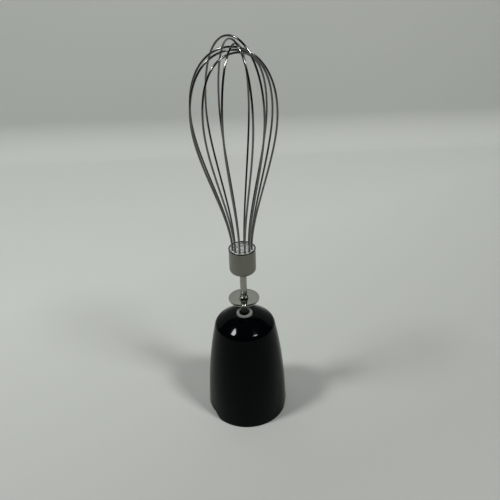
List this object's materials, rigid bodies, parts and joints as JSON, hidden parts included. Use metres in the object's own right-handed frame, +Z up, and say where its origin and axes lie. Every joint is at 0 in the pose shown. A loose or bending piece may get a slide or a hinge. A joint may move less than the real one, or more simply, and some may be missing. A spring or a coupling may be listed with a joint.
{
  "type": "stick blender whisk attachment",
  "caption": "Balloon whisk plugged into a bell-shaped planetary gearbox housing that stands on its open coupling rim.",
  "frame": {"origin": "centre of the housing's open rim, on the surface it stands on", "axes": "+Z up along the shaft from the rim to the whisk's crown; -Y is the side that faces the viewer"},
  "size_m": [0.0598, 0.06, 0.2772],
  "materials": {
    "gloss_black": "gloss moulded ABS",
    "dark_plastic": "moulded glass-filled nylon",
    "grey_plastic": "moulded acetal",
    "natural_nylon": "moulded natural acetal",
    "wire_steel": "electropolished spring wire",
    "satin_steel": "deep-drawn satin stainless",
    "polished_steel": "polished stainless",
    "sintered_bronze": "oil-filled sintered bronze",
    "zinc_screw": "zinc-plated steel",
    "black_rubber": "moulded nitrile rubber"
  },
  "bodies": {
    "gearbox": {"outer_housing": "gloss_black", "coupling_collar": "dark_plastic", "gearbox_casing": "natural_nylon", "gearbox_cover": "dark_plastic", "ring_gear": "natural_nylon", "thrust_washer": "polished_steel", "input_bush": "sintered_bronze", "output_bush": "sintered_bronze", "lip_seal": "black_rubber", "cover_screw_1": "zinc_screw", "cover_screw_2": "zinc_screw", "cover_screw_3": "zinc_screw"},
    "output": {"output_hub": "grey_plastic", "detent_ring": "polished_steel", "hub_circlip": "polished_steel", "planet_carrier": "satin_steel", "planet_retainer": "polished_steel", "planet_pin_1": "polished_steel", "planet_pin_2": "polished_steel", "planet_pin_3": "polished_steel"},
    "whisk": {"whisk_shaft": "polished_steel", "splash_disc": "polished_steel", "ferrule_cup": "satin_steel", "wire_plug": "grey_plastic", "wire_loop_1": "wire_steel", "wire_loop_2": "wire_steel", "wire_loop_3": "wire_steel", "wire_loop_4": "wire_steel", "wire_loop_5": "wire_steel", "wire_loop_6": "wire_steel"},
    "input": {"sun_gear": "satin_steel", "drive_coupling": "dark_plastic"},
    "planet_1": {"planet_gear_1": "natural_nylon"},
    "planet_2": {"planet_gear_2": "natural_nylon"},
    "planet_3": {"planet_gear_3": "natural_nylon"}
  },
  "joints": [
    {"name": "output_spin", "type": "hinge", "parent": "gearbox", "child": "output", "pos_m": [0, 0, 0.08], "axis": [0, 0, 1], "continuous": true},
    {"name": "whisk_pull", "type": "slide", "parent": "output", "child": "whisk", "axis": [0, 0, 1], "range_m": [0, 0.03]},
    {"name": "input_spin", "type": "hinge", "parent": "gearbox", "child": "input", "pos_m": [0, 0, 0.04], "axis": [0, 0, 1], "continuous": true},
    {"name": "planet_spin_1", "type": "hinge", "parent": "output", "child": "planet_1", "pos_m": [0.009, 0, 0.048], "axis": [0, 0, 1], "continuous": true},
    {"name": "planet_spin_2", "type": "hinge", "parent": "output", "child": "planet_2", "pos_m": [-0.0045, 0.00779, 0.048], "axis": [0, 0, 1], "continuous": true},
    {"name": "planet_spin_3", "type": "hinge", "parent": "output", "child": "planet_3", "pos_m": [-0.0045, -0.00779, 0.048], "axis": [0, 0, 1], "continuous": true}
  ],
  "couplings": [
    {"joint": "input_spin", "follows": "output_spin", "ratio": 5},
    {"joint": "planet_spin_1", "follows": "output_spin", "ratio": -2.6667},
    {"joint": "planet_spin_2", "follows": "output_spin", "ratio": -2.6667},
    {"joint": "planet_spin_3", "follows": "output_spin", "ratio": -2.6667}
  ]
}
